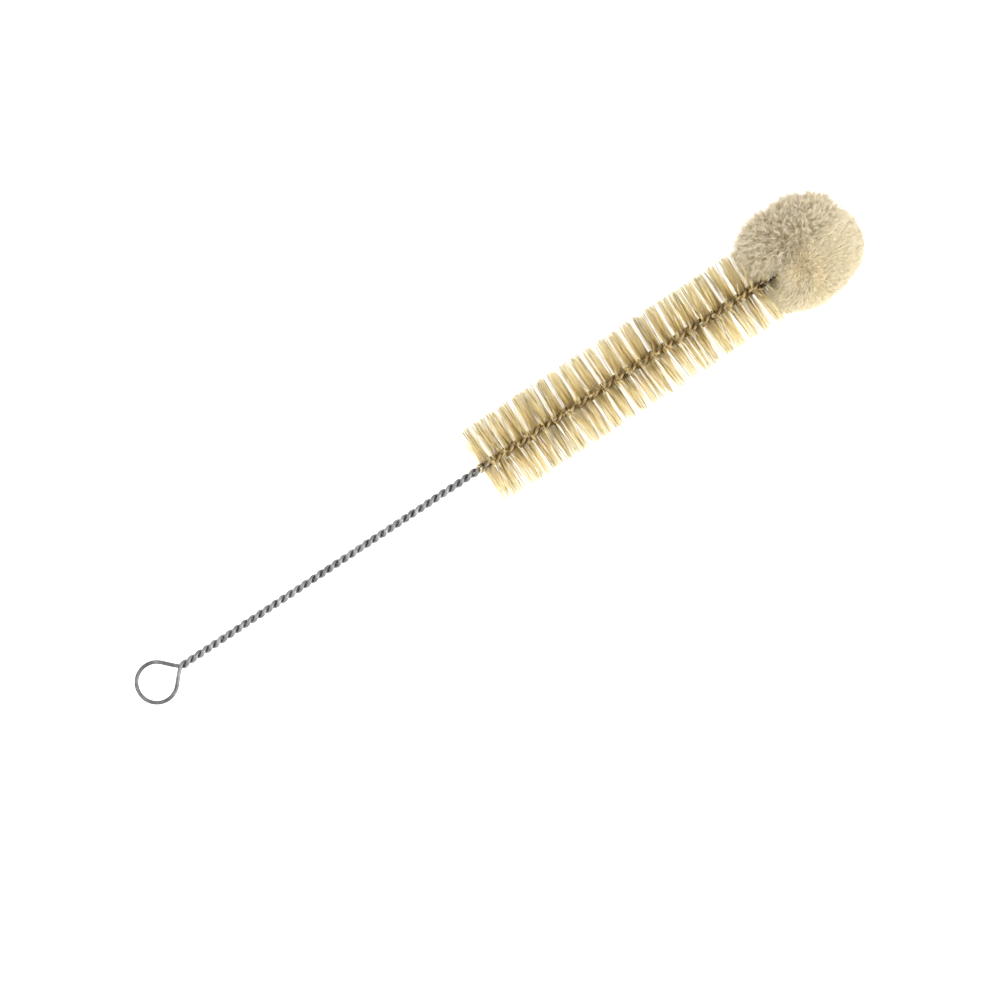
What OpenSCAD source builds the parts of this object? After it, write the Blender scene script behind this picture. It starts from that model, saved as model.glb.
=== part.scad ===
// Twisted-wire bottle brush with a wool tip, lying at rest on a flat surface.
// The finger loop is at the -X end and the wool tip at the +X end. The surface is z = 0,
// and the origin is under the middle of the whole brush.
// The brush lies on its wool tip and on the lowest bristle tips, so the loop end hangs clear.

/* [Wire] */
// Diameter of the steel wire
wire_d = 1.4; // [1.2:0.1:1.8]
// Gap between the two legs where nothing is held between them
leg_gap = 0.04; // [0.03:0.01:0.1]

/* [Finger loop] */
// Outside width of the finger loop
loop_w = 15.5; // [12:0.5:19]
// Length of the finger loop, up to the first crossing of the legs
loop_len = 17.7; // [14:0.1:26]
// Length of the straight part of the finger loop, next to the first crossing
loop_neck = 2.2; // [1.5:0.1:5]

/* [Stem] */
// Length of the bare twisted stem
stem_len = 126; // [60:1:240]
// Half turns of the twist in the bare stem
stem_half_turns = 40; // [20:1:60]

/* [Bristles] */
// Length of the bristled stretch
brush_len = 122; // [96:1:170]
// Diameter over the bristle tips
brush_d = 30; // [20:1:36]
// Number of bristle tufts, one in each half turn of the twist
tuft_count = 24; // [20:1:28]
// Thickness of a tuft where the legs grip it
root_t = 0.2; // [0.1:0.05:0.4]
// Angle over which a tuft fans out at its tips, to each side of its middle
fan_angle = 20; // [10:1:30]
// Gap along the brush between one tuft and the next
tuft_gap = 0.3; // [0.1:0.1:0.8]

/* [Wool tip] */
// Diameter of the wool tip
wool_d = 40; // [37:1:50]
// Distance from the last tuft to the middle of the wool tip
wool_reach = 14.3; // [10:0.1:17]
// Depth to which the wool tip is pressed flat where it lies
wool_flat = 0.8; // [0.5:0.1:1.5]
// Length of straight twisted wire inside the wool, before its end turns back
hook_run = 17; // [10:0.5:20]
// Radius of the bend that turns the wire's end back
hook_r = 4.5; // [3:0.1:6]
// Length of straight wire after the bend
hook_back = 7; // [2:0.5:10]

/* [Fit] */
// Clearance between the wire and the bristles that it grips
grip_clear = 0.16; // [0.15:0.01:0.25]
// Clearance between the wire and the wool round it
bore_clear = 0.2; // [0.15:0.01:0.4]
// Clearance between the last tuft and the wool tip
wool_clear = 0.3; // [0.1:0.1:0.6]

/* [Hidden] */
// two digits, as in bristle_tuft_07
function tuft_name(n) = str("bristle_tuft_", n < 10 ? "0" : "", n);

wire_sides = 8; // sides of the wire's section, with a flat towards the other leg
turn_steps = 4; // sections of the wire in each half turn
loop_steps = 20; // sections round the finger loop
lead_steps = 6; // sections from the loop into the first crossing
tuft_steps = 11; // steps along a tuft
bore_fn = 48;
ball_fn = 96;

wire_r = wire_d / 2;
bare_leg_r = wire_r + leg_gap / 2; // from the brush's axis to a leg's middle, bare
grip_leg_r = wire_r + root_t / 2 + grip_clear; // the same, with fibres gripped
twist_r = grip_leg_r + wire_r; // radius round both legs
brush_r = brush_d / 2;
root_u = twist_r + grip_clear; // a tuft fans out from here
tuft_step = brush_len / tuft_count;
bare_half_turns = stem_half_turns - 0.5; // so that each tuft has its own crossing in its middle
stem_step = stem_len / bare_half_turns;

brush_end = stem_len + brush_len; // lengths along the twist count from the first crossing
hook_start = brush_end + hook_run;
hook_arc = PI * hook_r;
wire_end = hook_start + hook_arc + hook_back;

wool_r = wool_d / 2;
wool_x = loop_len + brush_end + wool_reach; // along the brush's axis, from the loop's end
wool_h = wool_r - wool_flat; // height of the wool tip's middle above the surface
wool_back = wool_reach - wool_clear + tuft_gap / 2; // from the wool tip's middle to its flat back

// ---- the twist: a middle line, and half turns counted along it

function half_turns(s) = s < stem_len
    ? s / stem_step
    : bare_half_turns + (s - stem_len) / tuft_step;

function length_at(turns) = turns < bare_half_turns
    ? turns * stem_step
    : stem_len + (turns - bare_half_turns) * tuft_step;

function bend_at(s) = max(0, min(180, (s - hook_start) / hook_arc * 180));

// middle line: straight on the X axis, then turned back towards +Y inside the wool
function middle(s) = let (bend = bend_at(s))
    [loop_len + min(s, hook_start) + hook_r * sin(bend) - max(0, s - hook_start - hook_arc),
     hook_r * (1 - cos(bend)), 0];

// direction from the middle line to the first leg, turning left-handed
function spoke(s) = let (bend = bend_at(s), turn = -90 - 180 * half_turns(s))
    [-sin(bend) * cos(turn), cos(bend) * cos(turn), sin(turn)];

function ease(t) = let (c = max(0, min(1, t))) c * c * (3 - 2 * c);

function leg_r(s) = bare_leg_r + (grip_leg_r - bare_leg_r) * ease((s - stem_len) / tuft_step + 1);

function leg(s, side) = middle(s) + side * leg_r(s) * spoke(s);

// ---- the wire: one line from one cut end, round the finger loop, to the other

// the loop's round part, an oval unless the loop is as wide as it is long without its neck
ring_half_w = loop_w / 2 - wire_r;
ring_half_len = (loop_len - loop_neck) / 2 - wire_r;
ring_x = ring_half_len + wire_r;
function ring_at(a) = [ring_x + ring_half_len * cos(a), ring_half_w * sin(a), 0];

ring_span = loop_len - ring_x; // from the loop's middle to the first crossing
tangent_angle = acos(ring_half_len / ring_span);
lead_len = norm([loop_len, 0, 0] - ring_at(tangent_angle)) / 3; // length of a lead's handles

leg_steps = floor(half_turns(wire_end) * turn_steps);
leg_lengths = [for (i = [0:leg_steps]) length_at(i / turn_steps)];

function bezier(a, b, c, d, t) =
    pow(1 - t, 3) * a + 3 * t * pow(1 - t, 2) * b + 3 * t * t * (1 - t) * c + pow(t, 3) * d;

// straight lead from the first crossing out to the loop, on the side that is +1 or -1
function lead(side) = let (
    start = leg(0, side),
    slope = unit([-1, side * bare_leg_r * PI / stem_step, 0]),
    touch = ring_at(side * tangent_angle),
    along = unit([ring_half_len * sin(tangent_angle), -side * ring_half_w * cos(tangent_angle), 0]))
    [for (i = [1:lead_steps - 1])
        bezier(start, start + lead_len * slope, touch + lead_len * along, touch, i / lead_steps)];

loop_line = [for (i = [0:loop_steps])
    ring_at(tangent_angle + (360 - 2 * tangent_angle) * i / loop_steps)];

wire_line = concat(
    [for (i = [leg_steps:-1:0]) leg(leg_lengths[i], 1)],
    lead(1),
    loop_line,
    reversed(lead(-1)),
    [for (i = [0:leg_steps]) leg(leg_lengths[i], -1)]);

// which way each section's first flat faces: from one leg to the other in the twist
loop_sections = len(wire_line) - 2 * (leg_steps + 1);
wire_facing = concat(
    [for (i = [leg_steps:-1:0]) spoke(leg_lengths[i])],
    [for (i = [1:loop_sections]) [0, 0, -1]],
    [for (i = [0:leg_steps]) spoke(leg_lengths[i])]);

function unit(v) = v / norm(v);
function reversed(list) = [for (i = [len(list) - 1:-1:0]) list[i]];

// points of the section at one place on a line, square to the line there
function section(line, facing, i) = let (
    along = unit(line[min(i + 1, len(line) - 1)] - line[max(i - 1, 0)]),
    across = unit(cross(along, facing[i])),
    out = cross(across, along))
    [for (j = [0:wire_sides - 1]) let (a = (j + 0.5) * 360 / wire_sides)
        line[i] + wire_r * (cos(a) * out + sin(a) * across)];

// skin over rings of n points each, closed at both ends by the cap's convex faces; the diagonals
// of its quads keep a twisted wire's flats hollow and a twisted tuft's flats full
function skin_faces(rings, n, cap, full) = concat(
    cap,
    [for (i = [0:rings - 2]) for (j = [0:n - 1]) let (a = i * n + j, b = i * n + (j + 1) % n)
        each full ? [[a, a + n, b + n], [a, b + n, b]] : [[a, a + n, b], [b, a + n, b + n]]],
    [for (face = cap) [for (j = reversed(face)) (rings - 1) * n + j]]);

// ---- a tuft: a fan on both sides of the axis that turns with the twist

fan_half = [
    [root_u, -root_t / 2],
    brush_r * [cos(fan_angle), -sin(fan_angle)],
    [brush_r, 0],
    brush_r * [cos(fan_angle), sin(fan_angle)],
    [root_u, root_t / 2],
    [0, root_t / 2]];
fan = concat(fan_half, -fan_half);
// the fan's two ends, and the two halves of the neck between them
fan_cap = [[0, 1, 2, 3, 4], [0, 4, 5, 11], [6, 7, 8, 9, 10], [6, 10, 11, 5]];
tuft_turns = 1 - tuft_gap / tuft_step; // half turns that a tuft runs through

function tuft_section(turns) = let (a = -180 * turns, x = loop_len + length_at(turns))
    [for (p = fan) [x, p.x * cos(a) - p.y * sin(a), p.x * sin(a) + p.y * cos(a)]];

function tuft_points(n) = [for (i = [0:tuft_steps])
    each tuft_section(stem_half_turns + n - 1 + tuft_turns * (i / tuft_steps - 0.5))];

// ---- how the brush lies: the tilt at which the first bristle tip meets the surface

function touch_tilt(p) = let (away = wool_x - p.x)
    asin(min(1, wool_h / norm([away, p.z]))) - atan2(-p.z, away);

tilt = min([for (n = [1:tuft_count]) for (p = tuft_points(n)) if (p.z < 0) touch_tilt(p)]);

module lie() {
    translate([(wool_x * cos(tilt) - wool_r) / 2, 0, wool_h])
        rotate([0, -tilt, 0])
            translate([-wool_x, 0, 0])
                children();
}

// ---- the pieces

module twisted_wire() {
    color([0.58, 0.58, 0.57])
        lie()
            polyhedron(
                points = [for (i = [0:len(wire_line) - 1]) each section(wire_line, wire_facing, i)],
                faces = skin_faces(len(wire_line), wire_sides, [[for (j = [0:wire_sides - 1]) j]], false),
                convexity = 10);
}

module bristle_tuft(n) {
    color([0.85, 0.76, 0.56])
        lie()
            polyhedron(
                points = tuft_points(n),
                faces = skin_faces(tuft_steps + 1, len(fan), fan_cap, true),
                convexity = 6);
}

// room for the twisted wire inside the wool, following its middle line
module hook_room() {
    room_r = twist_r + bore_clear;
    bend_x = loop_len + hook_start;
    translate([bend_x - hook_run - wool_r, 0, 0])
        rotate([0, 90, 0])
            cylinder(r = room_r, h = hook_run + wool_r, $fn = bore_fn);
    translate([bend_x, hook_r, 0])
        rotate([0, 0, -90])
            rotate_extrude(angle = 180, $fn = ball_fn)
                translate([hook_r, 0])
                    circle(r = room_r, $fn = bore_fn);
    translate([bend_x, 2 * hook_r, 0])
        rotate([0, -90, 0])
            cylinder(r = room_r, h = hook_back + wire_r, $fn = bore_fn);
}

module wool_tip() {
    color([0.85, 0.79, 0.66])
        difference() {
            lie()
                difference() {
                    translate([wool_x, 0, 0])
                        sphere(r = wool_r, $fn = ball_fn);
                    translate([wool_x - wool_back - wool_d, -wool_d, -wool_d])
                        cube([wool_d, 2 * wool_d, 2 * wool_d]);
                    hook_room();
                }
            translate([-wool_x, -wool_d, -wool_d])
                cube([2 * wool_x, 2 * wool_d, wool_d]);
        }
}

twisted_wire();
for (n = [1:tuft_count])
    bristle_tuft(n);
wool_tip();
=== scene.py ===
import math
import bpy
import numpy as np
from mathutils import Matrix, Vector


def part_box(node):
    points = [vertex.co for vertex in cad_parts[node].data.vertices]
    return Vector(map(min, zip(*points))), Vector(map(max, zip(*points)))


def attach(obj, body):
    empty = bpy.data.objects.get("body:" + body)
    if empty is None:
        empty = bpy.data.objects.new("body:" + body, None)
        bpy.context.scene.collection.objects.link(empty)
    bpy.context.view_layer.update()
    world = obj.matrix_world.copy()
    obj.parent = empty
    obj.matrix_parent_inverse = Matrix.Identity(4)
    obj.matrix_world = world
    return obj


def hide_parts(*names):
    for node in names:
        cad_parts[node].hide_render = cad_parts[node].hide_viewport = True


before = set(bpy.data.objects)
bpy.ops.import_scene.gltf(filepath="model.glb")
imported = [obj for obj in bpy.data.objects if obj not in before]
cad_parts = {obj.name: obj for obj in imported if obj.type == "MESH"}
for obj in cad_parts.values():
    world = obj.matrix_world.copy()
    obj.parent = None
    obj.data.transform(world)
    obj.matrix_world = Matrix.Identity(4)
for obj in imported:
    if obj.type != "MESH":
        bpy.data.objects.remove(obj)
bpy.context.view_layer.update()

# in the brush's own frame x runs along it from the loop's end, y to its side and z up from it
tuftNodes = sorted(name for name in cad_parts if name.startswith("bristle_tuft_"))


def middleOf(node):
    low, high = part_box(node)
    return np.array((low + high) / 2)


firstTuft, lastTuft = middleOf(tuftNodes[0]), middleOf(tuftNodes[-1])
tuftStep = np.linalg.norm(lastTuft - firstTuft) / (len(tuftNodes) - 1)
alongBrush = (lastTuft - firstTuft) / np.linalg.norm(lastTuft - firstTuft)
acrossBrush = np.array([0.0, 1.0, 0.0])
brushAxes = np.array([alongBrush, acrossBrush, np.cross(alongBrush, acrossBrush)])

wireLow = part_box("twisted_wire")[0]
woolLow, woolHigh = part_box("wool_tip")
bristleLow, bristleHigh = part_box(tuftNodes[0])
bristleRadius = (bristleHigh.y - bristleLow.y) / 2
bristleStart = (firstTuft[0] - wireLow.x) / alongBrush[0] - tuftStep / 2
bristleEnd = bristleStart + len(tuftNodes) * tuftStep
loopEnd = firstTuft - alongBrush * (bristleStart + tuftStep / 2)
woolRadius = (woolHigh.y - woolLow.y) / 2
woolMiddle = (woolHigh.x - woolRadius - loopEnd[0]) / alongBrush[0]


def placed(points):
    return loopEnd + np.asarray(points) @ brushAxes


def brushFrame(points):
    return (np.asarray(points) - loopEnd) @ brushAxes.T


def deselect():
    if bpy.context.mode != "OBJECT":
        bpy.ops.object.mode_set(mode="OBJECT")
    bpy.ops.object.select_all(action="DESELECT")


def pick(piece):
    deselect()
    piece.select_set(True)
    bpy.context.view_layer.objects.active = piece


# leaves edit mode on, with only the wanted corners selected
def editWhere(piece, wanted):
    pick(piece)
    bpy.ops.object.mode_set(mode="EDIT")
    bpy.ops.mesh.select_mode(type="VERT")
    bpy.ops.mesh.select_all(action="DESELECT")
    bpy.ops.object.mode_set(mode="OBJECT")
    for corner in piece.data.vertices:
        corner.select = wanted(corner.co)
    bpy.ops.object.mode_set(mode="EDIT")


# a socket that takes part in sums
class Maths:
    def __init__(self, tree, socket):
        self.tree = tree
        self.socket = socket

    def combined(self, operation, first, second):
        node = self.tree.nodes.new("ShaderNodeMath")
        node.operation = operation
        for slot, value in enumerate([first, second]):
            if isinstance(value, Maths):
                self.tree.links.new(value.socket, node.inputs[slot])
            else:
                node.inputs[slot].default_value = value
        return Maths(self.tree, node.outputs[0])

    def __add__(self, other):
        return self.combined("ADD", self, other)

    def __radd__(self, other):
        return self.combined("ADD", other, self)

    def __sub__(self, other):
        return self.combined("SUBTRACT", self, other)

    def __rsub__(self, other):
        return self.combined("SUBTRACT", other, self)

    def __mul__(self, other):
        return self.combined("MULTIPLY", self, other)

    def __rmul__(self, other):
        return self.combined("MULTIPLY", other, self)


class Finish:
    def __init__(self, name, **settings):
        self.material = bpy.data.materials.new(name)
        self.material.use_nodes = True
        self.tree = self.material.node_tree
        self.shader = self.tree.nodes["Principled BSDF"]
        for socket, value in settings.items():
            self.shader.inputs[socket].default_value = value

    # an input is named by its socket, or by i and its number
    def node(self, kind, settings=None, output=0, **inputs):
        made = self.tree.nodes.new("ShaderNode" + kind)
        for name, value in (settings or {}).items():
            if name == "stops":
                self.setStops(made.color_ramp, value)
            else:
                setattr(made, name, value)
        for name, value in inputs.items():
            socket = made.inputs[int(name[1:])] if name[1:].isdigit() else made.inputs[name]
            if isinstance(value, Maths):
                self.tree.links.new(value.socket, socket)
            else:
                socket.default_value = value
        return Maths(self.tree, made.outputs[output])

    def setStops(self, ramp, stops):
        for index, (place, colour) in enumerate(stops):
            stop = ramp.elements[index] if index < 2 else ramp.elements.new(place)
            stop.position = place
            stop.color = linear(*colour)

    def feed(self, socket, value):
        self.tree.links.new(value.socket, self.shader.inputs[socket])

    def noise(self, scale, detail, roughness=0.6):
        spot = self.node("TexCoord", output="Object")
        return self.node("TexNoise", Vector=spot, Scale=scale, Detail=detail, Roughness=roughness)

    def along(self, start, end):
        # 0 before start and 1 after end, both measured along the brush from the loop's end,
        # and inputs 1 and 2 are where the range starts and ends
        spot = self.node("TexCoord", output="Object")
        x = self.node("SeparateXYZ", i0=spot)
        low, high = (placed([[length, 0, 0]])[0][0] for length in (start, end))
        return self.node("MapRange", Value=x, i1=float(low), i2=float(high))

    def mixed(self, share, first, second, blend="MIX"):
        # 0 is the share, 6 and 7 are the colours and 2 is the colour that comes out
        settings = {"data_type": "RGBA", "blend_type": blend}
        return self.node("Mix", settings, 2, i0=share, i6=first, i7=second)

    # a fibre's own values: how far along it, its shade, and dark or grey
    def tone(self):
        whole = self.node("Attribute", {"attribute_name": "fibreTone"})
        return [self.node("SeparateColor", output=channel, i0=whole) for channel in range(3)]

    def letThrough(self, share, colour):
        solid = Maths(self.tree, self.shader.outputs[0])
        glow = self.node("BsdfTranslucent", Color=colour)
        both = self.node("MixShader", i0=share, i1=solid, i2=glow)
        self.tree.links.new(both.socket, self.tree.nodes["Material Output"].inputs[0])

    def bump(self, height, strength, distance):
        self.feed("Normal", self.node("Bump", Height=height, Strength=strength, Distance=distance))


# a colour given up to 255, as the shaders take it
def linear(red, green, blue):
    return tuple(((c / 255 + 0.055) / 1.055) ** 2.4 for c in (red, green, blue)) + (1,)


def wear(piece, material):
    piece.data.materials.clear()
    piece.data.materials.append(material)


view = dict(
    turn=33.4,  # degrees that the brush points up to the right
    frameWidth=0.3477,  # what the camera sees from side to side, at the brush's height
    lens=100.0,
    right=0.00122,  # how far the camera stands right of the frame's middle, as it sees it
    down=0.01457,  # and below it
)


def makeCamera():
    turn = math.radians(view["turn"])
    bpy.ops.object.camera_add(rotation=(0, 0, -turn))
    camera = bpy.context.object
    camera.data.lens = view["lens"]
    away = view["frameWidth"] * view["lens"] / camera.data.sensor_width
    right = np.array([math.cos(turn), -math.sin(turn), 0])
    up = np.array([math.sin(turn), math.cos(turn), 0])
    height = (firstTuft[2] + lastTuft[2]) / 2
    aside = right * view["right"] - up * view["down"]
    camera.location = aside + np.array([0, 0, height + away])
    bpy.context.scene.camera = camera
    print("camera:", round(away, 3), "m above the brush")


studio = dict(
    world=1.98,
    floor=0.92,
    floorSize=6.0,
    floorRoughness=0.9,
    lamps=[
        dict(place=(0.35, -0.75, 0.75), size=0.7, power=10.0),
        dict(place=(-0.5, 0.6, 0.9), size=1.0, power=3.0),
    ],
)


def makeStudio():
    scene = bpy.context.scene
    scene.view_settings.view_transform = "Standard"
    scene.world = bpy.data.worlds.new("studio")
    scene.world.use_nodes = True
    backdrop = scene.world.node_tree.nodes["Background"]
    backdrop.inputs["Color"].default_value = (1, 1, 1, 1)
    backdrop.inputs["Strength"].default_value = studio["world"]
    for settings in studio["lamps"]:
        bpy.ops.object.light_add(type="AREA", location=settings["place"])
        lamp = bpy.context.object
        lamp.data.size = settings["size"]
        lamp.data.energy = settings["power"]
        lamp.rotation_euler = lamp.location.to_track_quat("Z", "Y").to_euler()
    bpy.ops.mesh.primitive_plane_add(size=studio["floorSize"])
    floor = bpy.context.object
    floor.name = "floor"
    finish = Finish("paleFloor", Roughness=studio["floorRoughness"])
    white = studio["floor"]
    finish.shader.inputs["Base Color"].default_value = (white, white, white, 1)
    finish.shader.inputs["Specular IOR Level"].default_value = 0.0
    wear(floor, finish.material)
    print("studio:", len(studio["lamps"]), "lamps and the floor")


wire = dict(
    radius=0.00075,
    loopWidth=0.0158,
    loopOut=0.0004,  # how far the loop's far side lies beyond the CAD loop's
    loopLength=0.0177,
    bareHalfTurns=39.5,
    bareLeg=0.00076,  # from the twist's middle to a leg's, on the bare stem
    grippedLeg=0.00098,  # and where bristle lies between the legs
    hookRun=0.017,  # how far the twist goes into the wool before it bends back
    hookRadius=0.0045,
    hookBack=0.0065,
    pointsPerHalfTurn=10,
    leadPoints=12,
    ringPoints=64,
    roundness=4,
    mergeWithin=1e-6,
    smoothBelow=60.0,  # degrees between faces
    bare=[(0.3, (82, 82, 83)), (0.6, (120, 120, 120)), (0.8, (152, 152, 150))],
    # painted shade: the metal darker from the loop to a little way up the stem
    loopShade=[(0.3, (60, 60, 61)), (0.6, (94, 94, 94)), (0.8, (132, 132, 130))],
    loopShadeUpTo=(0.012, 0.022),
    # painted shade and painted reflection: brown between the bristles, for their shadow on the wire
    # and their gold mirrored in it, measured from where they start
    shadeAndReflectionOfBristles=[(0.3, (92, 76, 48)), (0.6, (134, 114, 78)), (0.8, (168, 152, 116))],
    shadeAndReflectionOfBristlesFrom=(-0.003, 0.006),
    metallic=0.85,
    patchScale=320.0,
    speckScale=2600.0,
    roughness=0.2,
    patchRoughness=0.16,
    speckRoughness=0.1,
    speckStrength=0.3,
    speckHeight=0.00006,
)
stemLength = bristleStart - wire["loopLength"]
bareHalfTurns = wire["bareHalfTurns"]
hookStart = bristleEnd - wire["loopLength"] + wire["hookRun"]
hookArc = math.pi * wire["hookRadius"]


def halfTurns(s):
    bare = s * bareHalfTurns / stemLength
    return np.where(s < stemLength, bare, bareHalfTurns + (s - stemLength) / tuftStep)


# one leg's middle line, s metres of twist from the first crossing
def wireLeg(s, side):
    bend = np.clip((s - hookStart) / hookArc, 0, 1) * math.pi
    turn = -math.pi / 2 - math.pi * halfTurns(s)
    into = np.clip((s - stemLength) / tuftStep + 1, 0, 1)
    away = wire["bareLeg"] + (wire["grippedLeg"] - wire["bareLeg"]) * into * into * (3 - 2 * into)
    x = wire["loopLength"] + np.minimum(s, hookStart) + wire["hookRadius"] * np.sin(bend)
    x = x - np.maximum(0, s - hookStart - hookArc)
    y = wire["hookRadius"] * (1 - np.cos(bend))
    middle = np.stack([x, y, 0 * s], 1)
    spoke = np.stack([-np.sin(bend) * np.cos(turn), np.cos(bend) * np.cos(turn), np.sin(turn)], 1)
    return middle + side * away[:, None] * spoke


# the curve from the first crossing to the round part of the loop
def loopLead(side, ringMiddle, ringRadius, touchAngle):
    start = wireLeg(np.array([0.0]), side)[0]
    slope = np.array([-1, side * wire["bareLeg"] * math.pi * bareHalfTurns / stemLength, 0])
    slope = slope / np.linalg.norm(slope)
    touchX = ringMiddle + ringRadius * math.cos(touchAngle)
    touch = np.array([touchX, side * ringRadius * math.sin(touchAngle), 0])
    along = np.array([math.sin(touchAngle), -side * math.cos(touchAngle), 0])
    reach = ringRadius * math.tan(touchAngle) / 3
    corners = [start, start + reach * slope, touch + reach * along, touch]
    t = np.linspace(0, 1, wire["leadPoints"] + 2)[1:-1, None]
    return sum(math.comb(3, k) * t**k * (1 - t) ** (3 - k) * corners[k] for k in range(4))


def makeWire():
    ringRadius = wire["loopWidth"] / 2 - wire["radius"]
    ringMiddle = wire["loopWidth"] / 2 - wire["loopOut"]
    touchAngle = math.acos(ringRadius / (wire["loopLength"] - ringMiddle))
    wireEnd = hookStart + hookArc + wire["hookBack"]
    count = int(halfTurns(np.array([wireEnd]))[0] * wire["pointsPerHalfTurn"])
    turns = np.arange(count + 1) / wire["pointsPerHalfTurn"]
    onStem = turns * stemLength / bareHalfTurns
    s = np.where(turns < bareHalfTurns, onStem, stemLength + (turns - bareHalfTurns) * tuftStep)
    a = np.linspace(touchAngle, 2 * math.pi - touchAngle, wire["ringPoints"])
    ring = np.stack([ringMiddle + ringRadius * np.cos(a), ringRadius * np.sin(a), 0 * a], 1)
    line = np.concatenate([
        wireLeg(s, 1)[::-1],
        loopLead(1, ringMiddle, ringRadius, touchAngle),
        ring,
        loopLead(-1, ringMiddle, ringRadius, touchAngle)[::-1],
        wireLeg(s, -1),
    ])
    deselect()
    curve = bpy.data.curves.new("twistedSteelWire", "CURVE")
    curve.dimensions = "3D"
    spline = curve.splines.new("POLY")
    spline.points.add(len(line) - 1)
    points = np.ones((len(line), 4))
    points[:, :3] = placed(line)
    spline.points.foreach_set("co", points.ravel())
    curve.bevel_depth = wire["radius"]
    curve.bevel_resolution = wire["roundness"]
    curve.use_fill_caps = True
    piece = bpy.data.objects.new("twistedSteelWire", curve)
    bpy.context.collection.objects.link(piece)
    pick(piece)
    bpy.ops.object.convert(target="MESH")
    bpy.ops.object.mode_set(mode="EDIT")
    bpy.ops.mesh.select_all(action="SELECT")
    bpy.ops.mesh.remove_doubles(threshold=wire["mergeWithin"])
    bpy.ops.mesh.normals_make_consistent(inside=False)
    bpy.ops.object.mode_set(mode="OBJECT")
    bpy.ops.object.shade_smooth_by_angle(angle=math.radians(wire["smoothBelow"]))
    wear(piece, steelFinish())
    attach(piece, "root")
    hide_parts("twisted_wire")
    print("wire:", len(piece.data.polygons), "faces")


def steelFinish():
    finish = Finish("drawnSteel", Metallic=wire["metallic"])
    patches = finish.noise(wire["patchScale"], detail=4.0)
    specks = finish.noise(wire["speckScale"], detail=2.0)
    bare = finish.node("ValToRGB", {"stops": wire["bare"]}, i0=patches)
    # painted shade and painted reflection of the bristles: brown on the core
    shadeAndReflectionOfBristles = finish.node("ValToRGB", {"stops": wire["shadeAndReflectionOfBristles"]}, i0=patches)
    # painted shade: darker metal from the loop to a little way up the stem
    loopShade = finish.node("ValToRGB", {"stops": wire["loopShade"]}, i0=patches)
    bare = finish.mixed(finish.along(*wire["loopShadeUpTo"]), loopShade, bare)
    # where the bristles lie, the wire takes their painted shade and reflection
    gripped = finish.along(*(bristleStart + shift for shift in wire["shadeAndReflectionOfBristlesFrom"]))
    finish.feed("Base Color", finish.mixed(gripped, bare, shadeAndReflectionOfBristles))
    uneven = patches * wire["patchRoughness"] + specks * wire["speckRoughness"]
    finish.feed("Roughness", wire["roughness"] + uneven)
    finish.bump(specks, wire["speckStrength"], wire["speckHeight"])
    return finish.material


# one fibre of each kind is modelled a metre long, and the rest are its copies
hair = dict(name="hair", sides=3, tip=0.85, rings=(0.5,), fullness=(1.0,), slack=0.01)
strand = dict(name="strand", sides=3, tip=0.0, rings=(0.35, 0.7), fullness=(1.4, 2.6), slack=0.01)


def makeFibre(shape):
    bpy.ops.mesh.primitive_cone_add(
        vertices=shape["sides"], radius1=1, radius2=shape["tip"], depth=1, location=(0, 0, 0.5))
    piece = bpy.context.object
    piece.name = shape["name"]
    bpy.ops.object.transform_apply(location=True, rotation=True, scale=True)
    bpy.ops.object.mode_set(mode="EDIT")
    for height in shape["rings"]:
        bpy.ops.mesh.select_all(action="SELECT")
        bpy.ops.mesh.bisect(plane_co=(0, 0, height), plane_no=(0, 0, 1))
    for height, fullness in zip(shape["rings"], shape["fullness"]):
        editWhere(piece, lambda corner: abs(corner.z - height) < shape["slack"])
        bpy.ops.transform.resize(value=(fullness, fullness, 1), center_override=(0, 0, height))
    bpy.ops.mesh.select_all(action="SELECT")
    bpy.ops.mesh.quads_convert_to_tris()
    bpy.ops.object.mode_set(mode="OBJECT")
    corners = np.array([v.co for v in piece.data.vertices])
    faces = np.array([p.vertices for p in piece.data.polygons])
    bpy.data.objects.remove(piece)
    return corners, faces


def unit(vectors):
    return vectors / np.linalg.norm(vectors, axis=-1, keepdims=True)


lowestHeight = 0.00005  # no fibre goes below the ground
asideFrom = [0.31, 0.27, 0.91]  # a direction that fibres hardly ever point in, to turn them by


def copyFibres(name, shape, roots, tips, bow, thickness, tone):
    corners, faces = shape
    count = len(roots)
    t = corners[None, :, 2, None]
    along = unit(tips - roots)
    aside = unit(np.cross(along, asideFrom))
    other = np.cross(along, aside)
    line = roots[:, None] * (1 - t) + tips[:, None] * t + bow(t)
    section = aside[:, None] * corners[None, :, 0, None]
    section = section + other[:, None] * corners[None, :, 1, None]
    points = line + section * thickness[:, None, None]
    points = placed(points.reshape(-1, 3))
    points[:, 2] = np.maximum(points[:, 2], lowestHeight)
    stamped = (faces[None] + (np.arange(count) * len(corners))[:, None, None]).reshape(-1, 3)
    mesh = bpy.data.meshes.new(name)
    mesh.vertices.add(len(points))
    mesh.vertices.foreach_set("co", points.ravel())
    mesh.loops.add(stamped.size)
    mesh.loops.foreach_set("vertex_index", stamped.ravel())
    mesh.polygons.add(len(stamped))
    mesh.polygons.foreach_set("loop_start", np.arange(len(stamped)) * 3)
    mesh.update(calc_edges=True)
    colours = np.ones((count, len(corners), 4))
    colours[:, :, 0] = corners[None, :, 2]
    colours[:, :, 1:3] = tone[:, None, :]
    layer = mesh.color_attributes.new("fibreTone", "FLOAT_COLOR", "POINT")
    layer.data.foreach_set("color", colours.ravel())
    mesh.polygons.foreach_set("use_smooth", np.ones(len(stamped), bool))
    piece = bpy.data.objects.new(name, mesh)
    bpy.context.collection.objects.link(piece)
    return piece


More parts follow.
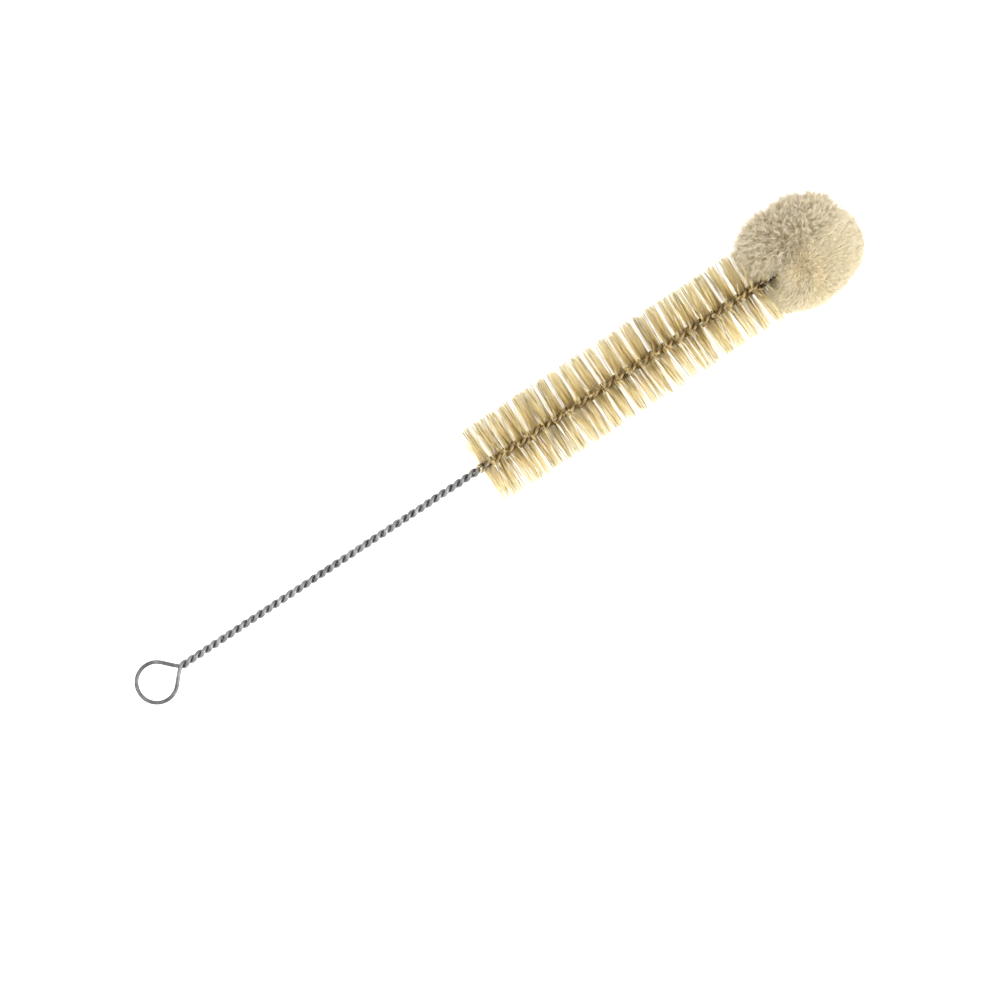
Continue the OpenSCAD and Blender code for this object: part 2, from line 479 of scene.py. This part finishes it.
bristle = dict(
    seed=11,
    perClump=6,
    thickness=0.00004,
    thicknessRange=(0.65, 1.3),
    rootDepth=0.0003,
    # shares of the width of a tuft, and how its clumps fan out along the brush
    upper=dict(clumps=62, root=0.72, tip=0.68, splay=0.026, lean=0.02),
    lower=dict(clumps=54, root=0.88, tip=0.70, splay=0.036, lean=0.02),
    rootRange=(0.92, 1.08),
    tuftLean=0.02,
    handleSplay=0.05,
    splayedTufts=6,
    # some clumps point to the side, some stand or hang, and the rest lie at any turn between
    flatShare=0.36,
    flatTurn=0.24,
    roundTurn=1.05,
    steepShare=0.22,
    steepTurn=0.2,
    steepEdge=0.2,
    ragged=0.042,
    # how single hairs stray from their clump
    hairShift=0.00004,
    hairTurn=0.02,
    hairLean=0.007,
    hairRagged=0.032,
    hairAround=0.015,
    bowAlong=0.00006,
    bowAround=0.0003,
    strayShare=0.05,
    strayLean=0.11,
    shortShare=0.1,
    shortRange=(0.8, 0.97),
    clumpShade=0.8,
    darkShare=0.012,
    darkTurn=(0.1, 0.5),
    darkThickness=1.9,
    darkColour=(36, 24, 14),
    # a hair's colour by its shade, and its tint from root to tip: golden at the root and greyer at
    # the tip as the hair is, and also painted light, the root painted as bright as it goes against
    # the shade near the core and the tip painted darker against the strong light on it
    shades=[(0.12, (150, 126, 72)), (0.3, (220, 196, 140)), (0.5, (251, 234, 191)),
            (0.7, (255, 248, 226)), (0.9, (255, 254, 246))],
    tintsAndPaintedLight=[(0.0, (255, 241, 190)), (0.4, (248, 239, 208)), (1.0, (205, 201, 187))],
    roughness=0.4,
    letThrough=0.5,  # the share of light that passes, and how much more in a pale hair
    letThroughPale=0.32,
    lightColour=(255, 249, 223),
)


def tuftFibres(rng, number, side):
    half = bristle["upper" if side > 0 else "lower"]
    clumps, each = half["clumps"], bristle["perClump"]
    count = clumps * each
    nearHandle = max(0.0, 1 - number / bristle["splayedTufts"])
    splay = half["splay"] + bristle["handleSplay"] * nearHandle

    # each clump's place and direction first, then how its hairs stray from it
    place = (rng.permutation(clumps) + rng.random(clumps)) / clumps - 0.5
    kind = rng.random(clumps)
    steep = kind < bristle["steepShare"]
    flat = kind > 1 - bristle["flatShare"]
    turned = bristle["roundTurn"]
    level = rng.normal(0, bristle["flatTurn"], clumps)
    angle = np.where(flat, level, rng.uniform(-turned, turned, clumps))
    edge = np.sign(place) * (0.5 - bristle["steepEdge"] * rng.random(clumps))
    upright = -np.sign(place) * math.pi / 2 + rng.normal(0, bristle["steepTurn"], clumps)
    angle = np.where(steep, upright, angle)
    width = half["root"] * rng.uniform(*bristle["rootRange"])
    x = bristleStart + (number + 0.5 + np.where(steep, edge, place * width)) * tuftStep
    lean = np.where(steep, 0, place * (half["tip"] - half["root"]) * tuftStep / bristleRadius)
    lean = lean + half["lean"] + rng.normal(0, splay, clumps) + rng.normal(0, bristle["tuftLean"])
    reach = bristleRadius * (1 - np.abs(rng.normal(0, bristle["ragged"], clumps)))
    shade = rng.random(clumps)
    x, lean, angle, reach, shade = (np.repeat(v, each) for v in (x, lean, angle, reach, shade))

    x = x + rng.normal(0, bristle["hairShift"], count)
    angle = angle + rng.normal(0, bristle["hairTurn"], count)
    dark = rng.random(count) < bristle["darkShare"]
    angle = np.where(dark, side * rng.uniform(*bristle["darkTurn"], count), angle)
    angle = angle + (0 if side > 0 else math.pi)
    lean = lean + rng.normal(0, bristle["hairLean"], count)
    stray = rng.random(count) < bristle["strayShare"]
    lean = np.where(stray, lean + rng.normal(0, bristle["strayLean"], count), lean)
    length = reach * (1 - np.abs(rng.normal(0, bristle["hairRagged"], count)))
    short = rng.random(count) < bristle["shortShare"]
    length = np.where(short, length * rng.uniform(*bristle["shortRange"], count), length)

    outward = np.stack([0 * x, np.cos(angle), np.sin(angle)], 1)
    around = np.stack([0 * x, -np.sin(angle), np.cos(angle)], 1)
    axial = np.array([1.0, 0, 0])
    root = axial * x[:, None] + outward * bristle["rootDepth"]
    direction = outward + axial * lean[:, None]
    direction = direction + around * rng.normal(0, bristle["hairAround"], (count, 1))
    tip = root + direction * length[:, None]
    bow = axial * rng.normal(0, bristle["bowAlong"], (count, 1))
    bow = bow + around * rng.normal(0, bristle["bowAround"], (count, 1))
    thickness = bristle["thickness"] * rng.uniform(*bristle["thicknessRange"], count)
    thickness = thickness * np.where(dark, bristle["darkThickness"], 1)
    shade = bristle["clumpShade"] * shade + (1 - bristle["clumpShade"]) * rng.random(count)
    return root, tip, bow, thickness, np.stack([shade, dark.astype(float)], 1)


def makeBristles(shape):
    rng = np.random.default_rng(bristle["seed"])
    finish = bristleFinish()
    for number, node in enumerate(tuftNodes):
        sides = [tuftFibres(rng, number, side) for side in (1, -1)]
        root, tip, bow, thickness, tone = (np.concatenate(part) for part in zip(*sides))
        piece = copyFibres(
            f"bristles{number + 1:02d}", shape, root, tip,
            lambda t: bow[:, None] * (4 * t * (1 - t)), thickness, tone)
        wear(piece, finish)
        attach(piece, "root")
        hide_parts(node)
    print("bristles:", len(tuftNodes), "tufts of", len(root), "hairs")


def bristleFinish():
    finish = Finish("naturalBristle", Roughness=bristle["roughness"])
    along, shade, dark = finish.tone()
    body = finish.node("ValToRGB", {"stops": bristle["shades"]}, i0=shade)
    # the tint is partly painted light: bright roots against the shade near the core, darker tips
    # against the light on them
    tint = finish.node("ValToRGB", {"stops": bristle["tintsAndPaintedLight"]}, i0=along)
    colour = finish.mixed(1.0, body, tint, "MULTIPLY")
    finish.feed("Base Color", finish.mixed(dark, colour, linear(*bristle["darkColour"])))
    passed = (bristle["letThrough"] + shade * bristle["letThroughPale"]) * (1.0 - dark)
    finish.letThrough(passed, linear(*bristle["lightColour"]))
    return finish.material


wool = dict(
    seed=5,
    bodyRadius=0.0171,
    bodySubdivisions=6,
    # the valley between the matted and the combed half
    valleyTurn=13.0,
    valleyShift=0.001,
    valleyHalfWidth=0.0006,
    valleyDepth=0.92,
    valleySoft=0.004,
    # hollows and swellings, each pulled from its spot beside the middle
    pushes=[
        dict(spot=(-0.0122, 0.0115, 0.004), reach=0.004, move=(-0.0046, 0.0024, 0), soft=0.011),
        dict(spot=(-0.0132, -0.0108, 0.003), reach=0.003, move=(-0.0046, 0.0004, 0), soft=0.006),
        dict(spot=(0.0040, -0.0165, 0), reach=0.004, move=(-0.0004, 0.0016, 0), soft=0.012),
        dict(spot=(-0.0171, 0, 0), reach=0.0015, move=(0.0070, 0, 0), soft=0.006),
        dict(spot=(-0.0152, -0.0005, 0.0080), reach=0.0015, move=(0.0034, 0, -0.0010), soft=0.005),
    ],
    matted=dict(locks=3400, perLock=5, thickness=0.000082, length=(0.0026, 0.0058),
                spread=0.00055, gather=0.0003, outward=0.6, combed=0.35, stray=0.38, wave=0.00035),
    combed=dict(locks=8500, perLock=2, thickness=0.000082, length=(0.0026, 0.0038),
                spread=0.0006, gather=0.00035, outward=0.5, combed=0.65, stray=0.035, wave=0.00007),
    lumpSize=0.006,
    lumpHeight=0.0014,
    sown=20000,
    mixing=0.0018,  # how far locks of one half stand in the other
    # the groove that the wire lies in has no locks
    grooveShift=-0.0004,
    grooveHalfWidth=0.0015,
    grooveEnd=-0.0118,
    # locks lie back over the bristles from sweptFrom on
    sweptFrom=-0.002,
    sweptRun=0.014,
    swept=1.1,
    combedFrom=-0.0008,
    rootDepth=0.0008,
    waves=5.5,
    ownWave=0.5,  # how much a strand strays from its lock's wave
    thicknessRange=(0.7, 1.3),
    lockTone=0.6,
    # beige takes over from cream across the valley and deepens up the matted side: partly the
    # matted wool's own colour, partly painted shade on the side that the light leaves darker
    greyRun=0.014,
    greyStart=0.45,
    greyMixing=0.15,
    # both from root to tip, with beige painted darker at the root as the shade down in the
    # crevices, and the locks' own shade over them, which counts less on cream
    cream=[(0.0, (241, 228, 192)), (0.5, (241, 230, 200)), (1.0, (236, 228, 207))],
    beige=[(0.0, (206, 190, 158)), (0.5, (230, 216, 188)), (1.0, (236, 228, 208))],
    lockShades=[(0.0, (230, 226, 217)), (0.7, (255, 255, 255))],
    creamShade=0.35,
    letThrough=0.42,
    letThroughGrey=0.08,  # how much less in beige
    lightColour=(242, 237, 220),
    roughness=0.85,
    # the body shows only between the locks, painted darker than them as the shade down between them
    # and in the groove
    bodyPaintedShade=[(0.3, (150, 134, 104)), (0.7, (204, 188, 152))],
    bodyRoughness=0.9,
    fluffScale=900.0,
    fluffStrength=0.6,
    fluffHeight=0.0004,
)


# above 0 on the matted side
def valleySide(points):
    turn = math.radians(wool["valleyTurn"])
    x, y = points[:, 0] - bristleEnd, points[:, 1] - wool["valleyShift"]
    return y * math.cos(turn) - x * math.sin(turn)


def pushWool(body, spot, reach, move, soft):
    at = placed([[woolMiddle + spot[0], spot[1], spot[2]]])[0]
    editWhere(body, lambda corner: np.linalg.norm(np.array(corner) - at) < reach)
    bpy.ops.transform.translate(
        value=brushAxes.T @ np.array(move), use_proportional_edit=True,
        proportional_edit_falloff="SMOOTH", proportional_size=soft)


def makeWoolBody():
    deselect()
    middle = placed([[woolMiddle, 0, 0]])[0]
    bpy.ops.mesh.primitive_ico_sphere_add(
        subdivisions=wool["bodySubdivisions"], radius=wool["bodyRadius"], location=middle)
    body = bpy.context.object
    body.name = "woolBody"
    bpy.ops.object.transform_apply(location=True, rotation=True, scale=True)
    for push in wool["pushes"]:
        pushWool(body, **push)
    inValley = wool["valleyHalfWidth"]
    editWhere(body, lambda corner: abs(valleySide(brushFrame([corner]))[0]) < inValley)
    bpy.ops.transform.resize(
        value=[wool["valleyDepth"]] * 3, center_override=middle, use_proportional_edit=True,
        proportional_edit_falloff="SMOOTH", proportional_size=wool["valleySoft"])
    bpy.ops.object.mode_set(mode="OBJECT")
    lumps = bpy.data.textures.new("woolLumps", "CLOUDS")
    lumps.noise_scale = wool["lumpSize"]
    bpy.ops.object.modifier_add(type="DISPLACE")
    swell = body.modifiers[-1]
    swell.texture = lumps
    swell.strength = wool["lumpHeight"]
    swell.mid_level = 0.5
    bpy.ops.object.modifier_apply(modifier=swell.name)
    bpy.ops.object.shade_smooth()
    print("wool: body of", len(body.data.polygons), "faces")
    return body


# spots on the body, spread by area, with their normals
def sowLocks(rng, body, matted):
    mesh = body.data
    mesh.calc_loop_triangles()
    triangles = np.array([t.vertices for t in mesh.loop_triangles])
    points = brushFrame([v.co for v in mesh.vertices])[triangles]
    facing = np.cross(points[:, 1] - points[:, 0], points[:, 2] - points[:, 0])
    area = np.linalg.norm(facing, axis=1)
    chosen = rng.choice(len(area), wool["sown"], p=area / area.sum())
    a, b = rng.random((2, len(chosen), 1))
    a, b = np.where(a + b > 1, 1 - a, a), np.where(a + b > 1, 1 - b, b)
    corner = points[chosen]
    spots = corner[:, 0] + a * (corner[:, 1] - corner[:, 0]) + b * (corner[:, 2] - corner[:, 0])
    normals = unit(facing[chosen])
    beyond = valleySide(spots) + rng.normal(0, wool["mixing"], len(spots))
    inGroove = np.abs(spots[:, 1] - wool["grooveShift"]) <= wool["grooveHalfWidth"]
    inGroove &= spots[:, 0] <= woolMiddle + wool["grooveEnd"]
    keep = ((beyond > 0) == matted) & ~inGroove
    return spots[keep], normals[keep]


def strandFibres(rng, body, matted):
    kind = wool["matted" if matted else "combed"]
    spots, normals = sowLocks(rng, body, matted)
    spots, normals = spots[:kind["locks"]], normals[:kind["locks"]]
    locks, each = len(spots), kind["perLock"]
    combed = spots - np.array([bristleEnd, wool["combedFrom"], 0])
    combed = unit(combed - normals * np.sum(combed * normals, axis=1, keepdims=True))
    swept = np.clip((woolMiddle + wool["sweptFrom"] - spots[:, :1]) / wool["sweptRun"], 0, 1)
    direction = kind["outward"] * normals + kind["combed"] * combed * (1 - swept)
    direction = direction - np.array([wool["swept"], 0, 0]) * swept
    direction = direction + kind["stray"] * rng.normal(0, 1, (locks, 3))
    lockTip = spots + unit(direction) * rng.uniform(*kind["length"], (locks, 1))
    lockRoot = spots - normals * wool["rootDepth"]
    root = np.repeat(lockRoot, each, axis=0) + rng.normal(0, kind["spread"], (locks * each, 3))
    tip = np.repeat(lockTip, each, axis=0) + rng.normal(0, kind["gather"], (locks * each, 3))
    wave = np.repeat(rng.normal(0, kind["wave"], (locks, 3)), each, axis=0)
    wave = wave + rng.normal(0, kind["wave"] * wool["ownWave"], wave.shape)
    lockTone = np.repeat(rng.random(locks), each) * wool["lockTone"]
    lockTone = lockTone + rng.random(locks * each) * (1 - wool["lockTone"])
    # more beige farther up the matted side: partly its own colour, partly painted shade of that
    # side
    grey = valleySide(tip) / wool["greyRun"] + wool["greyStart"]
    grey = np.clip(grey + rng.normal(0, wool["greyMixing"], len(tip)), 0, 1)
    thickness = kind["thickness"] * rng.uniform(*wool["thicknessRange"], locks * each)
    return root, tip, wave, thickness, np.stack([lockTone, grey], 1)


def makeWool(shape):
    rng = np.random.default_rng(wool["seed"])
    body = makeWoolBody()
    finish = woolFinish()
    wear(body, bodyFinish())
    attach(body, "root")
    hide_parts("wool_tip")
    for name, matted in (("woolMatted", True), ("woolCombed", False)):
        root, tip, wave, thickness, tone = strandFibres(rng, body, matted)
        for part in range(2):
            some = slice(part * len(root) // 2, (part + 1) * len(root) // 2)
            piece = copyFibres(
                f"{name}{part + 1}", shape, root[some], tip[some],
                lambda t: wave[some, None] * np.sin(t * wool["waves"]), thickness[some], tone[some])
            wear(piece, finish)
            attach(piece, "root")
        print("wool:", name, len(root), "strands")


def woolFinish():
    finish = Finish("looseWool", Roughness=wool["roughness"])
    along, shade, grey = finish.tone()
    cream = finish.node("ValToRGB", {"stops": wool["cream"]}, i0=along)
    # the beige is darker at the root: painted shade in the crevices between locks
    beige = finish.node("ValToRGB", {"stops": wool["beige"]}, i0=along)
    lock = finish.node("ValToRGB", {"stops": wool["lockShades"]}, i0=shade)
    shaded = wool["creamShade"] + grey * (1 - wool["creamShade"])
    colour = finish.mixed(shaded, finish.mixed(grey, cream, beige), lock, "MULTIPLY")
    finish.feed("Base Color", colour)
    passed = wool["letThrough"] - grey * wool["letThroughGrey"]
    finish.letThrough(passed, linear(*wool["lightColour"]))
    return finish.material


def bodyFinish():
    finish = Finish("woolUnderneath", Roughness=wool["bodyRoughness"])
    fluff = finish.noise(wool["fluffScale"], detail=4.0)
    # painted shade: the body darker than the strands, for the shade among the locks
    finish.feed("Base Color", finish.node("ValToRGB", {"stops": wool["bodyPaintedShade"]}, i0=fluff))
    finish.bump(fluff, wool["fluffStrength"], wool["fluffHeight"])
    return finish.material


makeCamera()
makeStudio()
makeWire()
makeBristles(makeFibre(hair))
makeWool(makeFibre(strand))
